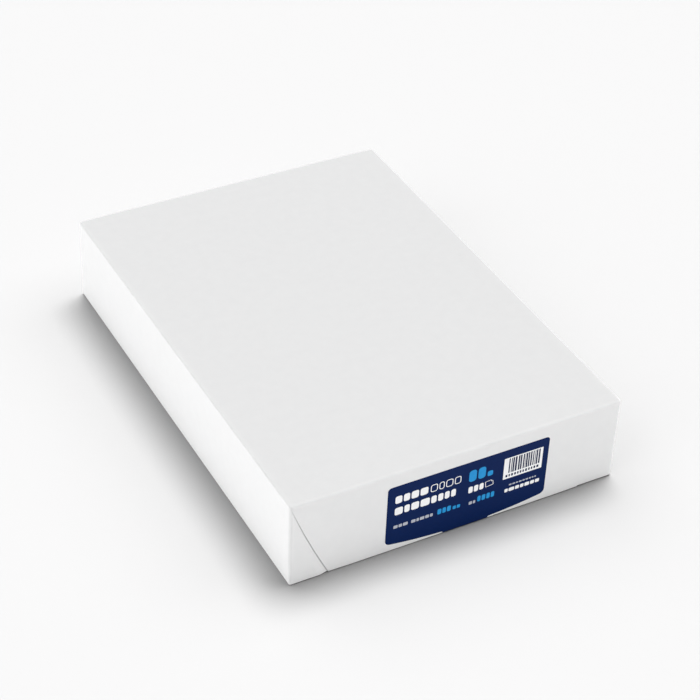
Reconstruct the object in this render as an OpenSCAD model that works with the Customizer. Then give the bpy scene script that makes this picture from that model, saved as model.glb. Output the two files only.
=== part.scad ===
// Ream of office paper, sealed in a folded paper wrapper, with a label on one end.
// Millimetres. The pack lies flat: X across the folded ends, Y along the sheets, Z up.
// The origin is on the floor, under the middle of the pack. The label is on the -Y end.

/* [Sheets] */
// Width of a sheet, across the folded ends
sheet_w = 210; // [160:1:297]
// Length of a sheet, from one folded end to the other
sheet_l = 297; // [160:1:420]
// Number of sheets in the ream
sheet_count = 500; // [300:10:600]
// Thickness of one sheet of 90 g office paper
sheet_t = 0.1115; // [0.09:0.0005:0.14]

/* [Wrapper] */
// Thickness of the wrapping paper
wrap_t = 0.12; // [0.08:0.01:0.2]
// Outer radius of the wrapper's folded edges
edge_r = 1.4; // [0.8:0.1:2.5]
// Clear distance from the label's tab to the lap seam underneath
lap_gap = 4; // [2:0.5:50]

/* [End folds] */
// How far in from the pack's side the top flap's slanted edge ends, at the floor
flap_inset = 23.3; // [10:0.1:28]
// Outward bow of the slanted edge, measured from its chord
flap_bow = 1.2; // [0.5:0.1:3]
// Gap that stands open behind the slanted edge, where it is widest
gape = 0.45; // [0.1:0.05:0.6]
// Height over the floor at which that gap is widest
gape_z = 14; // [6:1:30]
// Share of that gap which is still open at the floor
gape_floor = 0.45; // [0.1:0.05:1]
// How far in behind the slanted edge that gap reaches
gape_reach = 3; // [1:0.5:8]
// Distance from the top of the pack down to where that gap begins
gape_drop = 3; // [2.5:0.5:20]

/* [End label] */
// Thickness of the label
label_t = 0.1; // [0.06:0.01:0.2]
// Width of the label
label_w = 103.7; // [60:0.1:108]
// Distance of the label's middle from the pack's middle
label_x = 5.7; // [-10:0.1:10]
// Distance from the top of the pack down to the label's upper edge
label_drop = 8.8; // [4:0.1:15]
// Radius of the label's upper corners
label_top_r = 2.4; // [1:0.1:5]
// Radius of the label's lower corners
label_low_r = 3.5; // [1:0.1:6]
// Radius of the label's long curved lower edge
label_curve_r = 307; // [200:1:600]
// Height of that curve over the floor in the label's middle, where the tab grows out of it
label_low_z = 1.4; // [0.8:0.1:3]

/* [Label tab] */
// Width of the tab that goes round the bottom edge
tab_w = 29; // [16:0.5:50]
// Reach of the tab underneath, from the end of the pack
tab_l = 15; // [8:0.5:30]
// Radius of the tab's corners
tab_r = 4; // [1:0.5:7]
// Radius of the hollow shoulders between the label and its tab
shoulder_r = 1.2; // [0.4:0.1:1.4]

/* [Hidden] */
$fn = 64;
// Sides of the circles behind the flap's slanted edges
wide_fn = 720;
// Steps in each arc of the label's outline
arc_steps = 10;
// How far cutting shapes run past what they cut
over = 1;
// Layers of paper at each end under the top flap: the bottom flap and the side tucks
tuck_layers = 2;
// Layers in the top flap's edge: its face and the pleat folded back behind it
flap_layers = 2;

// Underneath, the outer panel of the lap lies on the floor and the inner one a layer higher. The outer
// one reaches past the middle, so the pack rests flat on it. The label's tab is pressed flush into it.
inner_z = max(wrap_t, label_t);
pack_w = sheet_w + 2 * wrap_t;
pack_h = inner_z + wrap_t + sheet_count * sheet_t + wrap_t;
tuck_l = sheet_l + 2 * tuck_layers * wrap_t;
flap_l = tuck_l + 2 * (flap_layers * wrap_t + gape);
lap_x = label_x + tab_w / 2 + lap_gap;

label_top = pack_h - label_drop;
curve_z = label_low_z + label_curve_r;
low_corner_x = label_w / 2 - label_low_r;
low_corner_z = curve_z - sqrt((label_curve_r - label_low_r) ^ 2 - low_corner_x ^ 2);
shoulder_x = tab_w / 2 + shoulder_r;
shoulder_z = curve_z - sqrt((label_curve_r + shoulder_r) ^ 2 - shoulder_x ^ 2);

// Rectangle from one point to another, with round corners
module round_rect(from, to, r) {
    translate([from.x + r, from.y])
        square([to.x - from.x - 2 * r, to.y - from.y]);
    translate([from.x, from.y + r])
        square([to.x - from.x, to.y - from.y - 2 * r]);
    for (x = [from.x + r, to.x - r], y = [from.y + r, to.y - r])
        translate([x, y])
            circle(r);
}

// Stands an outline drawn in X and Z up, and runs it along the whole pack
module along_pack() {
    rotate([90, 0, 0])
        linear_extrude(flap_l + 2 * over, center = true)
            children();
}

// Runs an outline drawn in Y and Z across a width, centred on X
module across(width) {
    rotate([90, 0, 90])
        linear_extrude(width, center = true)
            children();
}

// Block with every edge rounded, from a floor height up to the top of the pack
module folded_block(length, z) {
    intersection() {
        along_pack()
            round_rect([-pack_w / 2, z], [pack_w / 2, pack_h], edge_r);
        across(pack_w + 2 * over)
            round_rect([-length / 2, z], [length / 2, pack_h], edge_r);
        translate([0, 0, z - over])
            linear_extrude(pack_h - z + 2 * over)
                round_rect([-pack_w / 2, -length / 2], [pack_w / 2, length / 2], edge_r);
    }
}

// Outline of the top flap, made narrower by in on both sides, and open to the top and bottom.
// Each slanted edge is an arc from the pack's top corner to the inset at the floor, bowed outwards.
module flap_outline(in = 0) {
    chord = sqrt(flap_inset ^ 2 + pack_h ^ 2);
    arc_r = chord ^ 2 / (8 * flap_bow) + flap_bow / 2;
    arc_x = (pack_w - flap_inset) / 2 - in - (arc_r - flap_bow) * pack_h / chord;
    arc_z = pack_h / 2 + (arc_r - flap_bow) * flap_inset / chord;
    intersection_for(side = [-1, 1])
        translate([side * arc_x, arc_z])
            circle(arc_r, $fn = wide_fn);
}

// Gap behind the slanted edges of one end's flap. It opens from nothing under the top corners, and
// closes again towards the floor, where the flap is pressed down.
module edge_gap(end) {
    tuck_y = end * tuck_l / 2;
    intersection() {
        along_pack() difference() {
            flap_outline();
            flap_outline(gape_reach);
        }
        across(pack_w)
            polygon([
                [tuck_y, 0],
                [tuck_y + end * gape * gape_floor, 0],
                [tuck_y + end * gape, gape_z],
                [tuck_y, pack_h - gape_drop]
            ]);
    }
}

// Plan of the label's tab, which also runs on in front of the pack
module tab_outline() {
    round_rect([-tab_w / 2, -flap_l / 2 - tab_l], [tab_w / 2, -flap_l / 2 + tab_l], tab_r);
}

// The stack of sheets in its wrapper, sealed
module wrapped_ream() {
    color("whitesmoke") difference() {
        union() {
            // Stack, inner panel and side tucks
            folded_block(tuck_l, inner_z);
            // Outer panel of the lap, which comes round from the left side
            difference() {
                intersection() {
                    folded_block(tuck_l, 0);
                    translate([-pack_w / 2 - over, -tuck_l / 2 - over, -over])
                        cube([lap_x + pack_w / 2 + over, tuck_l + 2 * over, pack_h / 2]);
                }
                translate([label_x, 0, -over])
                    linear_extrude(inner_z + over)
                        tab_outline();
            }
            // Top flaps, folded down over both ends
            intersection() {
                folded_block(flap_l, inner_z);
                along_pack()
                    flap_outline();
            }
        }
        for (end = [-1, 1])
            edge_gap(end);
    }
}

// Section of the labelled end in Y and Z: its face, its bottom edge and the underside to the tab's end
module end_section(grow) {
    translate([-flap_l / 2 - grow, inner_z + edge_r])
        square([tab_l + grow, label_top - inner_z - edge_r]);
    translate([-flap_l / 2 + edge_r, inner_z - grow])
        square([tab_l - edge_r, label_top - inner_z + grow]);
    translate([-flap_l / 2 + edge_r, inner_z + edge_r])
        circle(edge_r + grow);
}

// Points along an arc, from one angle to another
function arc(centre, r, from, to) = [
    for (i = [0:arc_steps])
        let (a = from + (to - from) * i / arc_steps)
            centre + r * [cos(a), sin(a)]
];

// Face of the label with its tab: the right half from the tab upwards, and its mirror image
module label_outline() {
    shoulder_a = asin(shoulder_x / (label_curve_r + shoulder_r));
    corner_a = asin(low_corner_x / (label_curve_r - label_low_r));
    half = concat(
        [[tab_w / 2, -over]],
        arc([shoulder_x, shoulder_z], shoulder_r, 180, 90 + shoulder_a),
        arc([0, curve_z], label_curve_r, shoulder_a - 90, corner_a - 90),
        arc([low_corner_x, low_corner_z], label_low_r, corner_a - 90, 0),
        arc([label_w / 2 - label_top_r, label_top - label_top_r], label_top_r, 0, 90)
    );
    polygon(concat(half, [for (i = [len(half) - 1:-1:0]) [-half[i].x, half[i].y]]));
}

// Printed paper label, stuck on the flap and round the bottom edge
module end_label() {
    color("midnightblue") translate([label_x, 0, 0]) intersection() {
        across(label_w + 2 * over) difference() {
            end_section(label_t);
            end_section(0);
        }
        union() {
            translate([0, -flap_l / 2 + edge_r, 0])
                rotate([90, 0, 0])
                    linear_extrude(edge_r + label_t + over)
                        label_outline();
            translate([0, 0, -over])
                linear_extrude(inner_z + edge_r + over)
                    tab_outline();
        }
    }
}

wrapped_ream();
end_label();
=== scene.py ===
import math

import bmesh
import bpy
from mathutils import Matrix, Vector


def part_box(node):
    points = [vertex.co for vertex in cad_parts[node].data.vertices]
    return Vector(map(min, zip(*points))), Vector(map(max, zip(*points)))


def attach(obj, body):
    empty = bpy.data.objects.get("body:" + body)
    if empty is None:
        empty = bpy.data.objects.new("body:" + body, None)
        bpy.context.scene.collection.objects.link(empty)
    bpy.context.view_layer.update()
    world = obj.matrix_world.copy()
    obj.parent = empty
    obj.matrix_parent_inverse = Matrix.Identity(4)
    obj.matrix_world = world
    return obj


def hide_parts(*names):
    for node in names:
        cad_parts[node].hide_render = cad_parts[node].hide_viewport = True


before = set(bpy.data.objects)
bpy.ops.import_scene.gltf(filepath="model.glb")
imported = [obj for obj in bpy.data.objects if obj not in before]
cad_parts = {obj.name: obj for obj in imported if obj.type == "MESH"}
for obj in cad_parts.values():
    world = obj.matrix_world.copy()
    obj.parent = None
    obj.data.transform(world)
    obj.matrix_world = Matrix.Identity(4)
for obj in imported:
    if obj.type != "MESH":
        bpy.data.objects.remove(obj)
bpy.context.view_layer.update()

# Wrapping paper
# One white sheet folded tight round the stack, with its lap seam underneath. At both ends the sides
# are tucked in, and the top flap is folded down over them; its slanted edges stand a little open.
MM = 0.001
half_w, flap_y, pack_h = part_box("wrapped_ream")[1]
paper_t = 0.12 * MM
inner_z = paper_t
# Radii of the folded edges at the floor and at the top, and of the upright corners, sharper low down
foot_r = 0.9 * MM
edge_r = 1.4 * MM
corner_r = 1.8 * MM
low_corner_r = 1.1 * MM
low_corner_h = 20 * MM
# The underside touches the floor from this far in, and its edges stand this high
rest_margin = 22 * MM
edge_lift = 0.2 * MM
# Lap seam underneath, and the label's tab, which is pressed into the outer panel with a soft rim
lap_x = 24.2 * MM
lap_slack = 0.01 * MM
tab_x = 5.7 * MM
tab_half = 14.5 * MM
tab_reach = 15 * MM
press_rim = 3 * MM
# Slanted edge of the top flap: how far in it ends at the floor, and its outward bow
flap_inset = 24.3 * MM
flap_bow = 0.8 * MM
# Gap behind that edge: its width, its share at the floor, where it opens, and how far in it reaches,
# which it does in full from a share of its width
flap_gape = 0.45 * MM
gape_floor = 0.45
gape_z = 11 * MM
gape_drop = 2 * MM
tight_gap = 0.03 * MM
flap_reach = 3.5 * MM
least_reach = 0.1 * MM
full_reach_share = 0.6
tuck_y = flap_y - 2 * paper_t - flap_gape
# Bulge of a full tuck, low down at the corner
tuck_bulge = 1.0 * MM
bulge_h = 18 * MM
bulge_fade = 5 * MM
# The slanted edge stays this far round the corner, and has its full fold where there is this much room
least_turn = math.pi * 0.4
full_fold = 2 * MM
# Along the end: the tuck's last stretch before the fold, and where the flap's face starts and settles
fold_room = 0.9 * MM
fold_lead = 0.15 * MM
face_start = 0.5 * MM
settle_end = 16 * MM
# Turn of the low and of the high folded edge, in radians, over which the fold behind the flap flattens out
low_turn = (0.8, 0)
high_turn = (0.5, 1.3)
# The middle of the end has columns of its own, in millimetres from the pack's middle, close together at
# the seam and at the tab's sides
middle_half = 28 * MM
middle_columns = (26.0, 24.28, 24.22, 24.2, 22.5, 20.9, 20.2, 18.4, 15.2, 12.0, 9.6, 8.8, 7.2, 4.8, 2.4, 0.0)
# Steps of the mesh: in a folded edge, up the face, in half a corner, along the tuck, round the flap's edge,
# along the flap and along a side. Those up the face leave out a share of a half wave at each end.
edge_steps = 8
face_steps = 46
face_ease = 0.12
turn_steps = 4
tuck_steps = 10
hem_steps = 6
flap_steps = 26
side_steps = 96


def smooth(low, high, value):
    """0 at low and before it, 1 at high and past it, and a soft step between."""
    t = min(1.0, max(0.0, (value - low) / (high - low)))
    return t * t * (3 - 2 * t)


def slanted_inset(z):
    """How far in from the pack's side the top flap's slanted edge is, at height z."""
    chord = math.hypot(flap_inset, pack_h)
    radius = chord**2 / (8 * flap_bow) + flap_bow / 2
    x = half_w - flap_inset / 2 - (radius - flap_bow) * pack_h / chord
    rise = z - pack_h / 2 - (radius - flap_bow) * flap_inset / chord
    return half_w - x - math.sqrt(radius**2 - rise**2)


def gape_at(z):
    """Gap behind the slanted edge: tight under the top corner, and half shut again at the floor."""
    opened = smooth(pack_h - gape_drop, pack_h / 2, z)
    unpressed = gape_floor + (1 - gape_floor) * smooth(0, gape_z, z)
    return tight_gap + flap_gape * opened * unpressed


def floor_height(x, y):
    """Height of the underside, which rests on its middle and stands a little off the floor at its edges."""
    to_edge = min(half_w - abs(x), flap_y - abs(y))
    return edge_lift * (1 - smooth(0, rest_margin, to_edge))


def panel_height(x, y):
    """Height of the lap's panels: the inner one lies a layer up, and the tab presses the outer one in."""
    if x > lap_x + lap_slack:
        return inner_z
    from_tab = math.hypot(max(0.0, abs(x - tab_x) - tab_half), max(0.0, y + flap_y - tab_reach))
    return inner_z * (1 - smooth(0, press_rim, from_tab))


def wrapper_levels():
    """Levels from the floor to the top, as part, place in it, inset and flatness. The place is a height over
    the panel in the low edge, a share of the upright face, and a depth under the top in the high edge."""
    levels = []
    for k in range(edge_steps):
        a = math.pi / 2 * k / edge_steps
        levels.append(("low", foot_r * (1 - math.cos(a)), foot_r * (1 - math.sin(a)), smooth(*low_turn, a)))
    waves = [face_ease + (1 - 2 * face_ease) * k / face_steps for k in range(face_steps + 1)]
    shares = [-math.cos(math.pi * wave) for wave in waves]
    for share in shares:
        levels.append(("face", (share - shares[0]) / (shares[-1] - shares[0]), 0.0, 0.0))
    for k in range(1, edge_steps + 1):
        a = math.pi / 2 * k / edge_steps
        levels.append(("high", edge_r * (1 - math.sin(a)), edge_r * (1 - math.cos(a)), smooth(*high_turn, a)))
    return levels


def level_height(level, panel_z):
    """Height of a level where the panel under it lies at a height."""
    part, place = level[:2]
    if part == "low":
        return panel_z + place
    if part == "high":
        return pack_h - place
    return panel_z + foot_r + place * (pack_h - panel_z - foot_r - edge_r)


def half_end(level, fullness):
    """Plan of one half of a folded end: round the corner, along the tuck, into the gap behind the flap
    and out again, round the flap's folded edge, and along the flap to the middle. The tuck bulges low
    down at the corner, by its fullness from 0 to 1."""
    inset, flat = level[2:]
    z = level_height(level, 0.0)
    r = low_corner_r + (corner_r - low_corner_r) * smooth(0, low_corner_h, z) - inset
    side, front = half_w - inset, tuck_y - inset
    bulge = tuck_bulge * fullness * (1 - smooth(0, bulge_h, z))
    quarter = r * math.pi / 2
    half_turn = quarter / 2
    start = max(slanted_inset(z) - inset, r * (1 - math.cos(least_turn)))
    edge = quarter + start - r if start >= r else r * math.acos(1 - start / r)

    def on_path(s, out):
        """Place at a distance along the tuck from the side face, and out from the tuck."""
        out += bulge * smooth(0, quarter, s) * (1 - smooth(edge - bulge_fade, edge - fold_room, s))
        if s >= quarter:
            return (-side + r + s - quarter, -front - out)
        a = s / r
        return (-side + r - (r + out) * math.cos(a), -front + r - (r + out) * math.sin(a))

    squeeze = min(1.0, (edge - half_turn) / full_fold)
    free = edge - half_turn - fold_room * squeeze
    turned = half_turn + min(half_turn, free * turn_steps / (turn_steps + tuck_steps))
    stops = [half_turn * k / turn_steps for k in range(turn_steps + 1)]
    stops += [half_turn + (turned - half_turn) * k / turn_steps for k in range(1, turn_steps + 1)]
    stops += [turned + (half_turn + free - turned) * k / tuck_steps for k in range(1, tuck_steps)]
    points = [on_path(s, 0) for s in stops]

    gap = gape_at(z)
    lifted, settled = gap + 2 * paper_t, flap_y - tuck_y
    deep = smooth(0, full_reach_share * flap_gape, gap - tight_gap) * (1 - flat)
    reach = least_reach + (flap_reach - least_reach) * deep
    fold = [(-fold_room * squeeze, 0), (-fold_lead * squeeze, 0)]
    fold += [(paper_t, 0), (paper_t + reach / 2, 0), (paper_t + reach, 0)]
    fold += [(paper_t + reach, gap), (paper_t + reach / 2, gap)]
    for k in range(hem_steps + 1):
        a = math.pi * k / hem_steps
        fold.append((paper_t * (1 - math.sin(a)), gap + paper_t * (1 - math.cos(a))))
    fold.append((face_start, lifted))
    first, last = fold[0][0], fold[-1][0]
    for k, (along, out) in enumerate(fold):
        t = k / (len(fold) - 1)
        along = along * (1 - flat) + (first + (last - first) * t) * flat
        out = out * (1 - flat) + lifted * smooth(0, 1, t) * flat
        points.append(on_path(edge + along, out))

    face_l = quarter + side - r - middle_half - edge - face_start
    for k in range(1, flap_steps + 1):
        along = face_start + face_l * k / flap_steps
        out = lifted + (settled - lifted) * smooth(face_start, settle_end, along)
        points.append(on_path(edge + along, out))
    return points + [(-x * MM, -front - settled) for x in middle_columns]


def whole_end(level):
    """Plan of the whole labelled end, from left to right. Its left tuck is the full one."""
    return half_end(level, 1) + [(-x, y) for x, y in reversed(half_end(level, 0)[:-1])]


def wrapper_ring(level):
    """Plan of a level all round: the labelled end, the right side, the far end and the left side."""
    near = whole_end(level)
    side_x, side_y = near[0]
    along = [side_y * math.cos(math.pi * k / side_steps) for k in range(1, side_steps)]
    right = [(-side_x, y) for y in along]
    far = [(x, -y) for x, y in reversed(near)]
    left = [(side_x, y) for y in reversed(along)]
    return near + right + far + left


def close_ring(verts, base, across, upward):
    """Closes the ring of points that starts at base with a grid blended from the ring's four sides, which
    meet in the middle of its corners. Across is how many points an end has. Gives the grid's faces."""
    count = 2 * (across + side_steps - 1)
    rows = side_steps + 2 * turn_steps
    columns = across - 2 * turn_steps
    near = [base + turn_steps + i for i in range(columns)]
    far = [base + (2 * across + side_steps - 2 - turn_steps - i) % count for i in range(columns)]
    left = [base + (turn_steps - j) % count for j in range(rows + 1)]
    right = [base + (across - 1 - turn_steps + j) % count for j in range(rows + 1)]

    def place(index):
        return Vector(verts[index])

    x0, x1 = place(near[0]).x, place(near[-1]).x
    y0, y1 = place(left[0]).y, place(left[-1]).y
    grid = [left] + [[near[i]] + [None] * (rows - 1) + [far[i]] for i in range(1, columns - 1)] + [right]
    for i in range(1, columns - 1):
        for j in range(1, rows):
            u = (place(near[i]).x - x0) / (x1 - x0)
            v = (place(left[j]).y - y0) / (y1 - y0)
            p = place(near[i]) * (1 - v) + place(far[i]) * v + place(left[j]) * (1 - u) + place(right[j]) * u
            p -= (place(near[0]) * (1 - u) + place(near[-1]) * u) * (1 - v)
            p -= (place(far[0]) * (1 - u) + place(far[-1]) * u) * v
            if not upward:
                p.z = panel_height(place(near[i]).x, p.y) + floor_height(p.x, p.y)
            grid[i][j] = len(verts)
            verts.append(tuple(p))
    faces = []
    for a, b in zip(grid, grid[1:]):
        for j in range(rows):
            quad = (a[j], b[j], b[j + 1], a[j + 1])
            faces.append(quad if upward else quad[::-1])
    return faces


def wrapper_mesh():
    """Rings from the floor to the top, closed with a grid underneath and a grid on top."""
    levels = wrapper_levels()
    verts, faces = [], []
    for level in levels:
        for x, y in wrapper_ring(level):
            verts.append((x, y, level_height(level, panel_height(x, y) + floor_height(x, y))))
    count = len(verts) // len(levels)
    for low in range(0, len(verts) - count, count):
        for j in range(count):
            a, b = low + j, low + (j + 1) % count
            faces.append((a, b, b + count, a + count))
    across = len(whole_end(levels[0]))
    top = len(verts) - count
    faces += close_ring(verts, 0, across, upward=False)
    faces += close_ring(verts, top, across, upward=True)
    mesh = bpy.data.meshes.new("wrapper")
    mesh.from_pydata(verts, [], faces)
    mesh.validate()
    return mesh


# Distances between which the paper turns from folded to flat, and from held fast to loose: from the
# pack's edges, over the floor, from the flap's slanted edge, and from the label's middle. The last two
# count on the ends, which start this near behind a tuck's face.
fold_band = (0.6 * MM, 3.2 * MM)
edge_band = (1.5 * MM, 14 * MM)
foot_band = (0.5 * MM, 3 * MM)
seam_band = (3 * MM, 12 * MM)
label_band = (54 * MM, 63 * MM)
behind_tuck = 0.5 * MM


def mark_paper(mesh):
    """Two marks for the paper: fold is 1 on a folded edge, and slack is 1 where the paper can ripple."""
    fold = mesh.attributes.new("fold", "FLOAT", "POINT")
    slack = mesh.attributes.new("slack", "FLOAT", "POINT")
    for i, v in enumerate(mesh.vertices):
        p = v.co
        to_edge = sorted((half_w - abs(p.x), flap_y - abs(p.y), min(p.z, pack_h - p.z)))[1]
        fold.data[i].value = 1 - smooth(*fold_band, to_edge)
        free = smooth(*edge_band, to_edge) * smooth(*foot_band, p.z)
        if abs(p.y) > tuck_y - behind_tuck:
            free *= smooth(*seam_band, abs(half_w - abs(p.x) - slanted_inset(p.z)))
            if p.y < 0:
                free *= smooth(*label_band, abs(p.x - tab_x))
        slack.data[i].value = free


def socket(tree, name, kind, value=None, way="INPUT"):
    made = tree.interface.new_socket(name, in_out=way, socket_type=kind)
    if value is not None:
        made.default_value = value
    return made.identifier


def feed(tree, target, inputs):
    """Inputs of a node: pairs of a socket's name or number, and the value or output that it gets."""
    for key, value in inputs:
        if isinstance(value, bpy.types.NodeSocket):
            tree.links.new(value, target.inputs[key])
        else:
            target.inputs[key].default_value = value


def node(tree, kind, inputs=(), **settings):
    made = tree.nodes.new(kind)
    for key, value in settings.items():
        setattr(made, key, value)
    feed(tree, made, inputs)
    return made


def maths(tree, operation, a, b):
    return node(tree, "ShaderNodeMath", [(0, a), (1, b)], operation=operation).outputs[0]


def geometry_tree(name, *inputs):
    """Geometry node tree with named inputs (name, socket kind, value). Also gives the inputs' identifiers."""
    tree = bpy.data.node_groups.new(name, "GeometryNodeTree")
    socket(tree, "Geometry", "NodeSocketGeometry")
    ids = {given[0]: socket(tree, *given) for given in inputs}
    socket(tree, "Geometry", "NodeSocketGeometry", way="OUTPUT")
    return tree, ids, tree.nodes.new("NodeGroupInput").outputs


def end_tree(tree, geometry, material):
    real = node(tree, "GeometryNodeRealizeInstances", [("Geometry", geometry)])
    dressed = node(tree, "GeometryNodeSetMaterial", [("Geometry", real.outputs[0]), ("Material", material)])
    node(tree, "NodeGroupOutput", [("Geometry", dressed.outputs[0])])


def run_tree(tree, ids, mesh, **values):
    """The plain mesh that the tree makes of a mesh, with its named inputs set."""
    holder = bpy.data.objects.new(tree.name, mesh)
    bpy.context.scene.collection.objects.link(holder)
    modifier = holder.modifiers.new(tree.name, "NODES")
    modifier.node_group = tree
    for name, value in values.items():
        modifier[ids[name.replace("_", " ")]] = value
    depsgraph = bpy.context.evaluated_depsgraph_get()
    made = bpy.data.meshes.new_from_object(holder.evaluated_get(depsgraph), depsgraph=depsgraph)
    holder.modifiers.clear()
    bpy.data.objects.remove(holder)
    return made


def ripple_tree():
    """Slow ripples of paper that lies loosely on a stack: each point moves along its normal."""
    tree, ids, given = geometry_tree(
        "paper_ripples",
        ("Height", "NodeSocketFloat", 0.1 * MM),
        ("Length", "NodeSocketFloat", 60 * MM),
        ("Seed", "NodeSocketFloat", 3.0),
        ("Material", "NodeSocketMaterial"),
    )
    place = node(tree, "GeometryNodeInputPosition").outputs[0]
    longer = node(tree, "ShaderNodeVectorMath", [(0, place), (1, (1.0, 0.7, 1.0))], operation="MULTIPLY")
    often = maths(tree, "DIVIDE", 1.0, given["Length"])
    noise = node(
        tree, "ShaderNodeTexNoise",
        [("Vector", longer.outputs[0]), ("W", given["Seed"]), ("Scale", often)], noise_dimensions="4D",
    )
    feed(tree, noise, [("Detail", 2.0), ("Roughness", 0.4)])
    centred = maths(tree, "SUBTRACT", noise.outputs[0], 0.5)
    slack = node(tree, "GeometryNodeInputNamedAttribute", [("Name", "slack")], data_type="FLOAT")
    held = maths(tree, "MULTIPLY", maths(tree, "MULTIPLY", centred, given["Height"]), slack.outputs[0])
    normal = node(tree, "GeometryNodeInputNormal").outputs[0]
    offset = node(tree, "ShaderNodeVectorMath", [(0, normal), ("Scale", held)], operation="SCALE")
    moved = node(
        tree, "GeometryNodeSetPosition", [("Geometry", given["Geometry"]), ("Offset", offset.outputs[0])]
    )
    end_tree(tree, moved.outputs[0], given["Material"])
    return tree, ids


def shader_group(name, inputs, outputs):
    tree = bpy.data.node_groups.new(name, "ShaderNodeTree")
    for given in inputs:
        socket(tree, *given)
    for label, kind in outputs:
        socket(tree, label, kind, way="OUTPUT")
    return tree, tree.nodes.new("NodeGroupInput").outputs


def mix(tree, amount, low, high):
    """Colour between low and high."""
    return node(tree, "ShaderNodeMix", [(0, amount), (6, low), (7, high)], data_type="RGBA").outputs[2]


def spread(tree, value, low, high, to_low=0.0, to_high=1.0):
    """A value's range from low to high, spread to another range."""
    return node(
        tree, "ShaderNodeMapRange",
        [("Value", value), ("From Min", low), ("From Max", high), ("To Min", to_low), ("To Max", to_high)],
    ).outputs[0]


def paper_grain():
    """Group: the cloudy look of paper against the light, its fine fibres, and the height of both."""
    tree, given = shader_group(
        "paper_grain",
        [
            ("Vector", "NodeSocketVector"),
            ("Cloud Size", "NodeSocketFloat", 6 * MM),
            ("Fibre Size", "NodeSocketFloat", 0.5 * MM),
        ],
        [("Clouds", "NodeSocketFloat"), ("Fibres", "NodeSocketFloat"), ("Height", "NodeSocketFloat")],
    )
    cloud_often = maths(tree, "DIVIDE", 1.0, given["Cloud Size"])
    fibre_often = maths(tree, "DIVIDE", 1.0, given["Fibre Size"])
    point = given["Vector"]
    clouds = node(
        tree, "ShaderNodeTexNoise",
        [("Vector", point), ("Scale", cloud_often), ("Detail", 4.0), ("Roughness", 0.6)],
    ).outputs[0]
    fibres = node(
        tree, "ShaderNodeTexNoise",
        [("Vector", point), ("Scale", fibre_often), ("Detail", 3.0), ("Roughness", 0.7), ("Distortion", 1.8)],
    ).outputs[0]
    fine = node(
        tree, "ShaderNodeTexVoronoi", [("Vector", point), ("Scale", fibre_often)], feature="SMOOTH_F1",
    ).outputs["Distance"]
    height = maths(tree, "ADD", clouds, maths(tree, "ADD", fibres, fine))
    node(tree, "NodeGroupOutput", [("Clouds", clouds), ("Fibres", fibres), ("Height", height)])
    return tree


def fold_wear_highlight():
    """Group: a painted highlight on a folded edge, broken up along its length into patches like rubbing."""
    tree, given = shader_group(
        "fold_wear_highlight",
        [
            ("Vector", "NodeSocketVector"),
            ("Fold", "NodeSocketFloat", 0.0),
            ("Patch Size", "NodeSocketFloat", 9 * MM),
        ],
        [("Wear Highlight", "NodeSocketFloat")],
    )
    often = maths(tree, "DIVIDE", 1.0, given["Patch Size"])
    patches = node(
        tree, "ShaderNodeTexNoise",
        [("Vector", given["Vector"]), ("Scale", often), ("Detail", 5.0), ("Roughness", 0.65)],
    )
    broken = spread(tree, patches.outputs[0], 0.35, 0.7)
    node(tree, "NodeGroupOutput", [("Wear Highlight", maths(tree, "MULTIPLY", broken, given["Fold"]))])
    return tree


grain_group = paper_grain()
wear_highlight_group = fold_wear_highlight()


def on_piece(tree, group, **values):
    """A shader group in a material, on the piece's own coordinates and with its named inputs set."""
    place = node(tree, "ShaderNodeTexCoord").outputs["Object"]
    given = [("Vector", place)] + [(name.replace("_", " "), value) for name, value in values.items()]
    return node(tree, "ShaderNodeGroup", given, node_tree=group).outputs


def new_paper(name, cloud_size, fibre_size):
    """A paper's material, its tree and shader, and its grain."""
    material = bpy.data.materials.new(name)
    material.use_nodes = True
    tree = material.node_tree
    grain = on_piece(tree, grain_group, Cloud_Size=cloud_size, Fibre_Size=fibre_size)
    return material, tree, tree.nodes["Principled BSDF"], grain


def finish_paper(tree, shader, grain, colour, roughness, gloss, relief, depth):
    """Colour, roughness and gloss of a paper, and the strength and depth of its grain's relief."""
    height = grain["Height"]
    bump = node(tree, "ShaderNodeBump", [("Strength", relief), ("Distance", depth), ("Height", height)])
    feed(tree, shader, [("Base Color", colour), ("Roughness", roughness), ("Normal", bump.outputs[0])])
    feed(tree, shader, [("Specular IOR Level", gloss)])


cloud_shade = (0.778, 0.779, 0.781, 1)
cloud_light = (0.796, 0.797, 0.798, 1)
fibre_shade = (0.765, 0.766, 0.769, 1)
# Painted highlight on folded edges: the colour they lighten to, in broken patches that also look like rubbing
wear_highlight_white = (0.828, 0.829, 0.830, 1)


def wrapping_paper():
    """White uncoated paper: faint clouds, fibres a shade darker, and a painted highlight on folded edges, in
    broken patches like rubbing.
    """
    material, tree, shader, grain = new_paper("white_wrapping_paper", 7 * MM, 0.45 * MM)
    fold = node(tree, "ShaderNodeAttribute", attribute_name="fold").outputs["Fac"]
    wear_highlight = on_piece(tree, wear_highlight_group, Fold=fold, Patch_Size=30 * MM)
    cloudy = mix(tree, spread(tree, grain["Clouds"], 0.3, 0.7), cloud_shade, cloud_light)
    fibrous = mix(tree, spread(tree, grain["Fibres"], 0.62, 0.8, 0, 0.5), cloudy, fibre_shade)
    # Folded edges get a painted highlight, lighter in broken patches
    wear_highlit = mix(tree, wear_highlight["Wear Highlight"], fibrous, wear_highlight_white)
    rough = spread(tree, grain["Clouds"], 0.3, 0.7, 0.74, 0.82)
    finish_paper(tree, shader, grain, wear_highlit, rough, gloss=0.12, relief=0.25, depth=0.03 * MM)
    return material


def finished(mesh, name, slot_name, *nodes):
    """The piece as an object that rides on the pack and stands for its CAD nodes."""
    piece = bpy.data.objects.new(name, mesh)
    bpy.context.scene.collection.objects.link(piece)
    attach(piece, "root")
    if nodes:
        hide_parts(*nodes)


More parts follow.
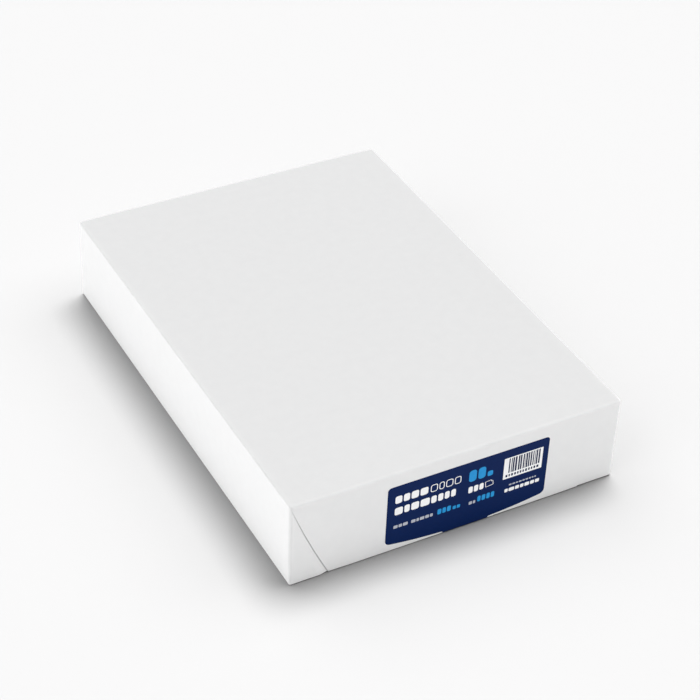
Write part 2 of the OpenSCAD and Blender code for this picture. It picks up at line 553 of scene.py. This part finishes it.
flat_wrapper = wrapper_mesh()
mark_paper(flat_wrapper)
ripples, ripple_ids = ripple_tree()
wrapper = run_tree(
    ripples, ripple_ids, flat_wrapper, Height=0.22 * MM, Length=70 * MM, Seed=3.0, Material=wrapping_paper()
)
wrapper.shade_smooth()
wrapper.set_sharp_from_angle(angle=math.radians(42))
finished(wrapper, "wrapping_paper", "wrapper", "wrapped_ream")

# End label
# A printed paper label, stuck on the flap so that it holds the end shut. Its long lower edge is
# curved, and the tab in the middle of it goes round the pack's bottom edge and underneath.
label_half = 51.85 * MM
label_t = 0.1 * MM
label_top = pack_h - 8.8 * MM
label_top_r = 2.4 * MM
label_low_r = 3.5 * MM
label_curve_r = 307 * MM
label_curve_z = label_curve_r + 1.4 * MM
tab_r = 4 * MM
shoulder_r = 1.2 * MM
shoulder_slack = 0.06 * MM
bend_z = inner_z + edge_lift + foot_r
bend_end = bend_z - foot_r * math.pi / 2
tab_end = bend_end - tab_reach + foot_r
# How far a glued or printed layer reaches into what carries it, and how close the same two places are
sink = 0.01 * MM
near_enough = 1e-6 * MM
# Steps of the mesh: in a quarter circle, from the tab's middle to its corner, along a wing of the label,
# down the face, in its last stretch over the curved edge, round the bend, and along the tab
arc_steps = 12
tab_columns = 8
wing_columns = 22
face_rows = 22
low_rows = 8
bend_rows = 8
tab_rows = 10
# Share of the face that its upper rows take
upper_share = 0.955


def on_label(x, down, out):
    """Place on the labelled end: down is a height on the face, and goes on round the edge and underneath."""
    if down >= bend_z:
        return (x, -flap_y - out, down)
    if down >= bend_end:
        a = (bend_z - down) / foot_r
        y = -flap_y + foot_r - (foot_r + out) * math.cos(a)
        lift = floor_height(x, max(y, -flap_y))
        return (x, y, bend_z - edge_lift + lift - (foot_r + out) * math.sin(a))
    y = -flap_y + foot_r + bend_end - down
    return (x, y, inner_z + floor_height(x, y) - out)


def label_rims(x):
    """Upper and lower end of the label's face at a distance from its middle, without the tab."""
    x = abs(x)
    top = label_top
    if x > label_half - label_top_r:
        top += math.sqrt(max(0, label_top_r**2 - (x - label_half + label_top_r) ** 2)) - label_top_r
    corner_x = label_half - label_low_r
    corner_z = label_curve_z - math.sqrt((label_curve_r - label_low_r) ** 2 - corner_x**2)
    corner_start = corner_x + label_low_r * corner_x / (label_curve_r - label_low_r)
    shoulder_x = tab_half + shoulder_r
    shoulder_z = label_curve_z - math.sqrt((label_curve_r + shoulder_r) ** 2 - shoulder_x**2)
    if x > corner_start:
        low = corner_z - math.sqrt(max(0, label_low_r**2 - (x - corner_x) ** 2))
    elif x > shoulder_x - shoulder_slack:
        low = label_curve_z - math.sqrt(label_curve_r**2 - x**2)
    else:
        low = shoulder_z + math.sqrt(max(0, shoulder_r**2 - (max(x, tab_half) - shoulder_x) ** 2))
    return top, low


def label_columns():
    """Distances from the label's middle at which its mesh has a column, on both sides of it."""
    wing = label_half - label_low_r - tab_half - shoulder_r
    xs = {0.0}
    for k in range(arc_steps + 1):
        a = math.pi / 2 * k / arc_steps
        xs.add(label_half - label_low_r * (1 - math.sin(a)))
        xs.add(tab_half - tab_r * (1 - math.sin(a)))
        xs.add(tab_half + shoulder_r * (1 - math.cos(a)))
    xs.update((tab_half - tab_r) * k / tab_columns for k in range(1, tab_columns))
    xs.update(tab_half + shoulder_r + wing * k / wing_columns for k in range(1, wing_columns))
    right = sorted(xs)
    return [-x for x in reversed(right[1:])] + right


def joined(lines):
    """Faces between lines of points that lie side by side."""
    faces = []
    for a, b in zip(lines, lines[1:]):
        faces += [(a[k], a[k + 1], b[k + 1], b[k]) for k in range(len(a) - 1)]
    return faces


def label_mesh():
    """The face in columns and the tab below, the same again on the glued side, and the cut edge between."""
    shares = [upper_share * k / face_rows for k in range(face_rows)]
    shares += [upper_share + (1 - upper_share) * k / low_rows for k in range(low_rows + 1)]
    places, face_lines, tab_lines = [], [], []
    columns = label_columns()
    for x in columns:
        top, low = label_rims(x)
        face_lines.append(list(range(len(places), len(places) + len(shares))))
        places += [(x, top + (low - top) * share) for share in shares]
    for x, face_line in zip(columns, face_lines):
        if abs(x) <= tab_half + near_enough:
            start = places[face_line[-1]][1]
            into_corner = max(0.0, abs(x) - tab_half + tab_r)
            end = tab_end + tab_r - math.sqrt(max(0, tab_r**2 - into_corner**2))
            line = [start + (bend_end - start) * k / bend_rows for k in range(1, bend_rows + 1)]
            line += [bend_end + (end - bend_end) * k / tab_rows for k in range(1, tab_rows + 1)]
            tab_lines.append([face_line[-1]] + list(range(len(places), len(places) + len(line))))
            places += [(x, down) for down in line]
    faces = joined(face_lines) + joined(tab_lines)
    edges = dict.fromkeys(edge for face in faces for edge in zip(face, face[1:] + face[:1]))
    rim = [(a, b) for a, b in edges if (b, a) not in edges]
    count = len(places)
    printed = [on_label(tab_x + x, down, label_t) for x, down in places]
    glued = [on_label(tab_x + x, down, -sink) for x, down in places]
    back = [tuple(v + count for v in reversed(face)) for face in faces]
    cut = [(b, a, a + count, b + count) for a, b in rim]
    mesh = bpy.data.meshes.new("label")
    mesh.from_pydata(printed + glued, [], faces + back + cut)
    mesh.validate()
    for i, polygon in enumerate(mesh.polygons):
        polygon.material_index = 0 if i < len(faces) else 1
    return mesh


def printed_navy():
    """Solid dark blue ink on satin label paper, with a trace of mottling and paler specks."""
    material, tree, shader, grain = new_paper("navy_print", 2.2 * MM, 0.25 * MM)
    mottled = spread(tree, grain["Clouds"], 0.3, 0.7)
    inked = mix(tree, mottled, (0.0010, 0.0120, 0.072, 1), (0.0016, 0.0145, 0.082, 1))
    speck = mix(tree, spread(tree, grain["Fibres"], 0.68, 0.85, 0, 0.25), inked, (0.010, 0.030, 0.12, 1))
    rough = spread(tree, grain["Clouds"], 0.3, 0.7, 0.34, 0.44)
    finish_paper(tree, shader, grain, speck, rough, gloss=0.06, relief=0.1, depth=0.01 * MM)
    return material


def plain_print(name, low, high, roughness):
    """One flat ink or bare label paper, with the paper's grain showing through it."""
    material, tree, shader, grain = new_paper(name, 1.6 * MM, 0.2 * MM)
    colour = mix(tree, spread(tree, grain["Clouds"], 0.3, 0.7), low, high)
    rough = spread(tree, grain["Fibres"], 0.3, 0.8, roughness - 0.04, roughness + 0.04)
    finish_paper(tree, shader, grain, colour, rough, gloss=0.15, relief=0.1, depth=0.01 * MM)
    return material


label = label_mesh()
label.materials.append(printed_navy())
label.materials.append(plain_print("bare_label_paper", (0.76, 0.765, 0.78, 1), (0.80, 0.803, 0.81, 1), 0.6))
label.shade_smooth()
label.set_sharp_from_angle(angle=math.radians(40))
finished(label, "end_label_paper", "label", "end_label")

# Print on the label
# Rows of rounded blocks in white, thin white and light blue ink stand where a printed label has its
# lines. Each is a film of ink on the navy ground; one row at the top is drawn in outline only.
ink_t = 0.03 * MM
weld = 0.0005 * MM
corner_points = 5
gap_seed_step = 100.0


def block_row_tree():
    """A row of rounded blocks of uneven width that fills a line's length, as closed films of ink."""
    tree, ids, given = geometry_tree(
        "block_row",
        ("Blocks", "NodeSocketInt", 6),
        ("Length", "NodeSocketFloat", 20 * MM),
        ("Height", "NodeSocketFloat", 4 * MM),
        ("Gap", "NodeSocketFloat", 1 * MM),
        ("Corner", "NodeSocketFloat", 0.6 * MM),
        ("Line", "NodeSocketFloat", 0.0),
        ("Thickness", "NodeSocketFloat", ink_t),
        ("Unevenness", "NodeSocketFloat", 0.3),
        ("Gap Unevenness", "NodeSocketFloat", 0.0),
        ("Seed", "NodeSocketInt", 1),
        ("Material", "NodeSocketMaterial"),
    )

    def uneven(amount, seed):
        """Random number for each block, around 1 by an amount."""
        low, high = maths(tree, "SUBTRACT", 1.0, amount), maths(tree, "ADD", 1.0, amount)
        draw = node(tree, "FunctionNodeRandomValue", [(2, low), (3, high), ("Seed", seed)], data_type="FLOAT")
        return draw.outputs[1]

    points = node(tree, "GeometryNodeMeshLine", [("Count", given["Blocks"])])
    drawn = uneven(given["Unevenness"], given["Seed"])
    kept = node(tree, "GeometryNodeCaptureAttribute", [("Geometry", points.outputs[0])], domain="POINT")
    kept.capture_items.new("FLOAT", "Width")
    tree.links.new(drawn, kept.inputs[1])
    width = kept.outputs[1]
    index = node(tree, "GeometryNodeInputIndex").outputs[0]
    later = node(tree, "FunctionNodeCompare", [(2, index), (3, 0)], data_type="INT", operation="GREATER_THAN")
    ragged = uneven(given["Gap Unevenness"], maths(tree, "ADD", given["Seed"], gap_seed_step))
    gap = maths(tree, "MULTIPLY", maths(tree, "MULTIPLY", ragged, given["Gap"]), later.outputs[0])

    def summed(value):
        """Sum of a value over the blocks: Leading with this one, Trailing without it, and Total."""
        adding = node(tree, "GeometryNodeAccumulateField", [(0, value)], data_type="FLOAT", domain="POINT")
        return adding.outputs

    widths, gaps = summed(width), summed(gap)
    unit = maths(tree, "DIVIDE", maths(tree, "SUBTRACT", given["Length"], gaps["Total"]), widths["Total"])
    middle = maths(tree, "ADD", widths["Trailing"], maths(tree, "MULTIPLY", width, 0.5))
    along = maths(tree, "ADD", maths(tree, "MULTIPLY", middle, unit), gaps["Leading"])
    wide = maths(tree, "MULTIPLY", width, unit)
    spot = node(tree, "ShaderNodeCombineXYZ", [("X", along)]).outputs[0]
    laid = node(tree, "GeometryNodeSetPosition", [("Geometry", kept.outputs[0]), ("Position", spot)])
    square = node(tree, "GeometryNodeCurvePrimitiveQuadrilateral", [(0, 1.0), (1, 1.0)], mode="RECTANGLE")

    def outlines(less, corner):
        """Rounded outlines of the blocks, made smaller by less."""
        narrow, low = maths(tree, "SUBTRACT", wide, less), maths(tree, "SUBTRACT", given["Height"], less)
        size = node(tree, "ShaderNodeCombineXYZ", [("X", narrow), ("Y", low), ("Z", 1.0)])
        placed = node(
            tree, "GeometryNodeInstanceOnPoints",
            [("Points", laid.outputs[0]), ("Instance", square.outputs[0]), ("Scale", size.outputs[0])],
        )
        real = node(tree, "GeometryNodeRealizeInstances", [("Geometry", placed.outputs[0])])
        return node(
            tree, "GeometryNodeFilletCurve",
            [
                ("Curve", real.outputs[0]), ("Count", corner_points),
                ("Radius", corner), ("Limit Radius", True),
            ],
            mode="POLY",
        ).outputs[0]

    def together(first, second):
        both = node(tree, "GeometryNodeJoinGeometry")
        tree.links.new(second, both.inputs[0])
        tree.links.new(first, both.inputs[0])
        return both.outputs[0]

    outer = outlines(0.0, given["Corner"])
    twice = maths(tree, "MULTIPLY", given["Line"], 2.0)
    inner = outlines(twice, maths(tree, "SUBTRACT", given["Corner"], given["Line"]))
    line = [(0, given["Line"]), (1, 0.0)]
    hollow = node(tree, "FunctionNodeCompare", line, data_type="FLOAT", operation="GREATER_THAN")
    chosen = node(
        tree, "GeometryNodeSwitch",
        [("Switch", hollow.outputs[0]), ("False", outer), ("True", together(outer, inner))],
        input_type="GEOMETRY",
    )
    film = node(tree, "GeometryNodeFillCurve", [("Curve", chosen.outputs[0])], mode="TRIANGLES").outputs[0]
    raised = node(
        tree, "GeometryNodeExtrudeMesh",
        [("Mesh", film), ("Offset Scale", given["Thickness"]), ("Individual", False)], mode="FACES",
    )
    under = node(tree, "GeometryNodeFlipFaces", [("Mesh", film)])
    whole = together(raised.outputs[0], under.outputs[0])
    closed = node(tree, "GeometryNodeMergeByDistance", [("Geometry", whole), ("Distance", weld)])
    end_tree(tree, closed.outputs[0], given["Material"])
    return tree, ids


block_row, block_ids = block_row_tree()


def stand_on_label(mesh, u, v, sunk, turn=0.0):
    """Moves a flat print from X and Y to the label: u from the pack's left side, v down from its top."""
    for vert in mesh.vertices:
        x, y, z = vert.co
        x, y = x * math.cos(turn) - y * math.sin(turn), x * math.sin(turn) + y * math.cos(turn)
        vert.co = (u * MM - half_w + x, -flap_y - label_t + sunk - z, pack_h - v * MM + y)


def printed_rows(name, ink, rows, sunk=sink, film=ink_t):
    """Rows of one ink in one piece. A row is u and v of its left end, with v at the row's middle, then
    length, height, blocks, gap, corner, unevenness and line in millimetres, and unevenness of the gaps."""
    piece = bmesh.new()
    for seed, (u, v, length, height, blocks, gap, corner, uneven, line, *ragged) in enumerate(rows, 11):
        row = run_tree(
            block_row, block_ids, bpy.data.meshes.new("blank"),
            Blocks=blocks, Length=length * MM, Height=height * MM, Gap=gap * MM, Corner=corner * MM,
            Line=line * MM, Thickness=film, Unevenness=uneven, Gap_Unevenness=ragged[0] if ragged else 0.0,
            Seed=seed, Material=ink,
        )
        stand_on_label(row, u, v, sunk)
        piece.from_mesh(row)
    mesh = bpy.data.meshes.new(name)
    bmesh.ops.recalc_face_normals(piece, faces=piece.faces)
    piece.to_mesh(mesh)
    mesh.materials.append(ink)
    finished(mesh, name, "label")


white_ink = plain_print("white_ink", (0.90, 0.90, 0.905, 1), (0.93, 0.93, 0.935, 1), 0.5)
blue_ink = plain_print("light_blue_ink", (0.012, 0.270, 0.62, 1), (0.020, 0.300, 0.67, 1), 0.45)
thin_ink = plain_print("thin_white_ink", (0.42, 0.44, 0.50, 1), (0.50, 0.52, 0.58, 1), 0.5)

printed_rows("white_print", white_ink, [
    (64.0, 19.0, 20.6, 5.3, 4, 1.0, 1.2, 0.22, 0.0),
    (86.2, 19.0, 19.4, 5.3, 4, 1.0, 1.4, 0.22, 0.5),
    (64.0, 27.4, 38.7, 5.3, 8, 1.0, 1.2, 0.35, 0.0),
    (111.0, 29.6, 9.8, 4.6, 3, 0.8, 1.0, 0.05, 0.0),
    (135.4, 39.3, 23.0, 2.5, 7, 0.6, 0.6, 0.4, 0.0),
])
printed_rows("light_blue_print", blue_ink, [
    (110.7, 19.5, 10.8, 8.2, 2, 1.1, 1.9, 0.03, 0.0),
    (122.8, 21.8, 3.5, 3.6, 1, 0.5, 1.0, 0.0, 0.0),
    (91.7, 38.2, 8.6, 3.9, 3, 0.7, 0.8, 0.1, 0.0),
    (101.5, 38.8, 4.8, 2.4, 2, 0.6, 0.6, 0.1, 0.0),
    (117.5, 38.4, 11.0, 4.0, 4, 0.7, 0.8, 0.1, 0.0),
])
printed_rows("thin_print", thin_ink, [
    (63.8, 38.7, 9.0, 2.2, 3, 0.6, 0.5, 0.4, 0.0),
    (75.0, 38.7, 13.7, 2.2, 5, 0.6, 0.5, 0.4, 0.0),
    (112.0, 39.6, 4.2, 2.2, 2, 0.6, 0.5, 0.3, 0.0),
    (138.0, 35.6, 18.0, 1.1, 9, 0.5, 0.4, 0.5, 0.0),
])

# Sheet mark
# A sheet with one corner turned down, drawn in thin white outline beside a row of white blocks.
# It is printed with them, in the same ink.
mark_u = 122.2
mark_v = 31.6
mark_turn = math.radians(7)
mark_line = 0.36
# Corners in millimetres from the mark's own origin: the sheet, and the corner that is turned down
sheet_corners = [(0, 0), (5.2, 0), (5.2, 2.9), (3.9, 4.2), (0, 4.2)]
turned_corner = [(3.9, 2.9), (5.0, 2.9), (3.9, 4.0)]


def sheet_outline(corners, line):
    """Closed film of ink along a polygon's edge, line wide, with its outer edge on the corners."""
    outer = [Vector(corner) for corner in corners]
    count = len(outer)
    inner = []
    for i, p in enumerate(outer):
        before = (p - outer[i - 1]).normalized()
        after = (outer[(i + 1) % count] - p).normalized()
        left_a, left_b = Vector((-before.y, before.x)), Vector((-after.y, after.x))
        inner.append(p + (left_a + left_b) * (line / (1 + left_a.dot(left_b))))
    made = bmesh.new()
    loops = ((outer, 0.0), (inner, 0.0), (inner, ink_t), (outer, ink_t))
    rings = [[made.verts.new((q.x * MM, q.y * MM, z)) for q in loop] for loop, z in loops]
    for i in range(count):
        j = (i + 1) % count
        for a, b in zip(rings, rings[1:] + rings[:1]):
            made.faces.new((a[i], a[j], b[j], b[i]))
    bmesh.ops.recalc_face_normals(made, faces=made.faces)
    return made


marks = bmesh.new()
for corners in (sheet_corners, turned_corner):
    flat_mark = bpy.data.meshes.new("sheet")
    sheet_outline(corners, mark_line).to_mesh(flat_mark)
    stand_on_label(flat_mark, mark_u, mark_v, sink, mark_turn)
    marks.from_mesh(flat_mark)
sheet_mark = bpy.data.meshes.new("sheet_mark")
marks.to_mesh(sheet_mark)
sheet_mark.materials.append(white_ink)
finished(sheet_mark, "sheet_mark", "label")

# Bar panel
# A white field with upright dark bars of uneven width and a row of small ticks under them, printed like
# the other lines. It carries no number.
bar_raise = 0.012 * MM
bar_ink_t = 0.02 * MM
bar_ink = plain_print("dark_bar_ink", (0.004, 0.012, 0.055, 1), (0.008, 0.018, 0.065, 1), 0.45)
printed_rows("bar_field", white_ink, [(133.4, 22.65, 25.5, 15.3, 1, 0.5, 0.4, 0.0, 0.0)])
printed_rows("bars", bar_ink, [
    (136.6, 21.0, 20.6, 10.6, 15, 0.56, 0.02, 0.72, 0.0, 0.55),
    (135.0, 28.2, 21.8, 1.8, 12, 0.75, 0.3, 0.2, 0.0),
], sunk=-bar_raise, film=bar_ink_t)

# Studio
# A plain pale floor and soft light. The floor has four wide lamps of its own, which give the shadow its
# soft edge all round, and the pack has three more. The camera stands where the photo was taken.
floor_r = 14
floor_grey = (0.18, 0.18, 0.18, 1)
backdrop = (0.956, 0.956, 0.956, 1)
world_light = 0.06


def studio_floor():
    """A round floor, which is clear from underneath."""
    disc = bmesh.new()
    bmesh.ops.create_circle(disc, cap_ends=True, segments=96, radius=floor_r)
    mesh = bpy.data.meshes.new("floor")
    disc.to_mesh(mesh)
    material = bpy.data.materials.new("pale_floor")
    material.use_nodes = True
    tree = material.node_tree
    tree.nodes.clear()
    pale = node(tree, "ShaderNodeBsdfDiffuse", [("Color", floor_grey)]).outputs[0]
    clear = node(tree, "ShaderNodeBsdfTransparent").outputs[0]
    under = node(tree, "ShaderNodeNewGeometry").outputs["Backfacing"]
    both = node(tree, "ShaderNodeMixShader", [(0, under), (1, pale), (2, clear)])
    node(tree, "ShaderNodeOutputMaterial", [("Surface", both.outputs[0])])
    mesh.materials.append(material)
    made = bpy.data.objects.new("floor", mesh)
    bpy.context.scene.collection.objects.link(made)
    return made


def lit_by_lamp(name, floor, state):
    """Collection that a lamp lights: the floor alone, or all but the floor."""
    lit = bpy.data.collections.new(name)
    lit.objects.link(floor)
    lit.collection_objects[0].light_linking.link_state = state
    return lit


def soft_sun(name, lit, irradiance, spread_angle, azimuth, elevation):
    """Wide sun whose light comes from a bearing, clockwise from the pack's far end, and a height."""
    lamp = bpy.data.lights.new(name, "SUN")
    lamp.energy = irradiance * math.pi
    lamp.angle = math.radians(spread_angle)
    made = bpy.data.objects.new(name, lamp)
    a, e = math.radians(azimuth), math.radians(elevation)
    towards = Vector((math.sin(a) * math.cos(e), math.cos(a) * math.cos(e), math.sin(e)))
    made.rotation_euler = towards.to_track_quat("Z", "Y").to_euler()
    made.light_linking.receiver_collection = lit
    bpy.context.scene.collection.objects.link(made)


floor = studio_floor()
floor_alone = lit_by_lamp("floor_alone", floor, "INCLUDE")
all_but_floor = lit_by_lamp("all_but_floor", floor, "EXCLUDE")
soft_sun("floor_right_light", floor_alone, 1.30, 56, 93, 52)
soft_sun("floor_left_light", floor_alone, 0.86, 50, 262, 36)
soft_sun("floor_back_light", floor_alone, 1.30, 56, 348, 52)
soft_sun("floor_overhead_light", floor_alone, 2.82, 30, 50, 72)
soft_sun("high_light", all_but_floor, 0.785, 56, 45, 58.5)
soft_sun("left_light", all_but_floor, 0.745, 5, 286, 2.5)
soft_sun("front_light", all_but_floor, 0.615, 8, 150, 25)

world = bpy.data.worlds.new("studio")
world.use_nodes = True
sky = world.node_tree
sky.nodes.clear()
dim = node(sky, "ShaderNodeBackground", [("Color", (1, 1, 1, 1)), ("Strength", world_light)]).outputs[0]
white = node(sky, "ShaderNodeBackground", [("Color", backdrop), ("Strength", 1.0)]).outputs[0]
path = node(sky, "ShaderNodeLightPath").outputs
seen = maths(sky, "MAXIMUM", path["Is Camera Ray"], path["Is Glossy Ray"])
seen = maths(sky, "MAXIMUM", seen, path["Is Transmission Ray"])
shown = node(sky, "ShaderNodeMixShader", [(0, seen), (1, dim), (2, white)])
node(sky, "ShaderNodeOutputWorld", [("Surface", shown.outputs[0])])
bpy.context.scene.world = world

camera = bpy.data.objects.new("camera", bpy.data.cameras.new("camera"))
camera.data.sensor_width = 36
camera.data.lens = 101.98
camera.data.clip_start = 0.05
camera.data.clip_end = 60
camera.location = (-0.46250, -0.83890, 0.75661)
camera.rotation_euler = [math.radians(a) for a in (52.5559, -2.0159, -27.8813)]
bpy.context.scene.collection.objects.link(camera)
bpy.context.scene.camera = camera
bpy.context.scene.view_settings.view_transform = "Standard"
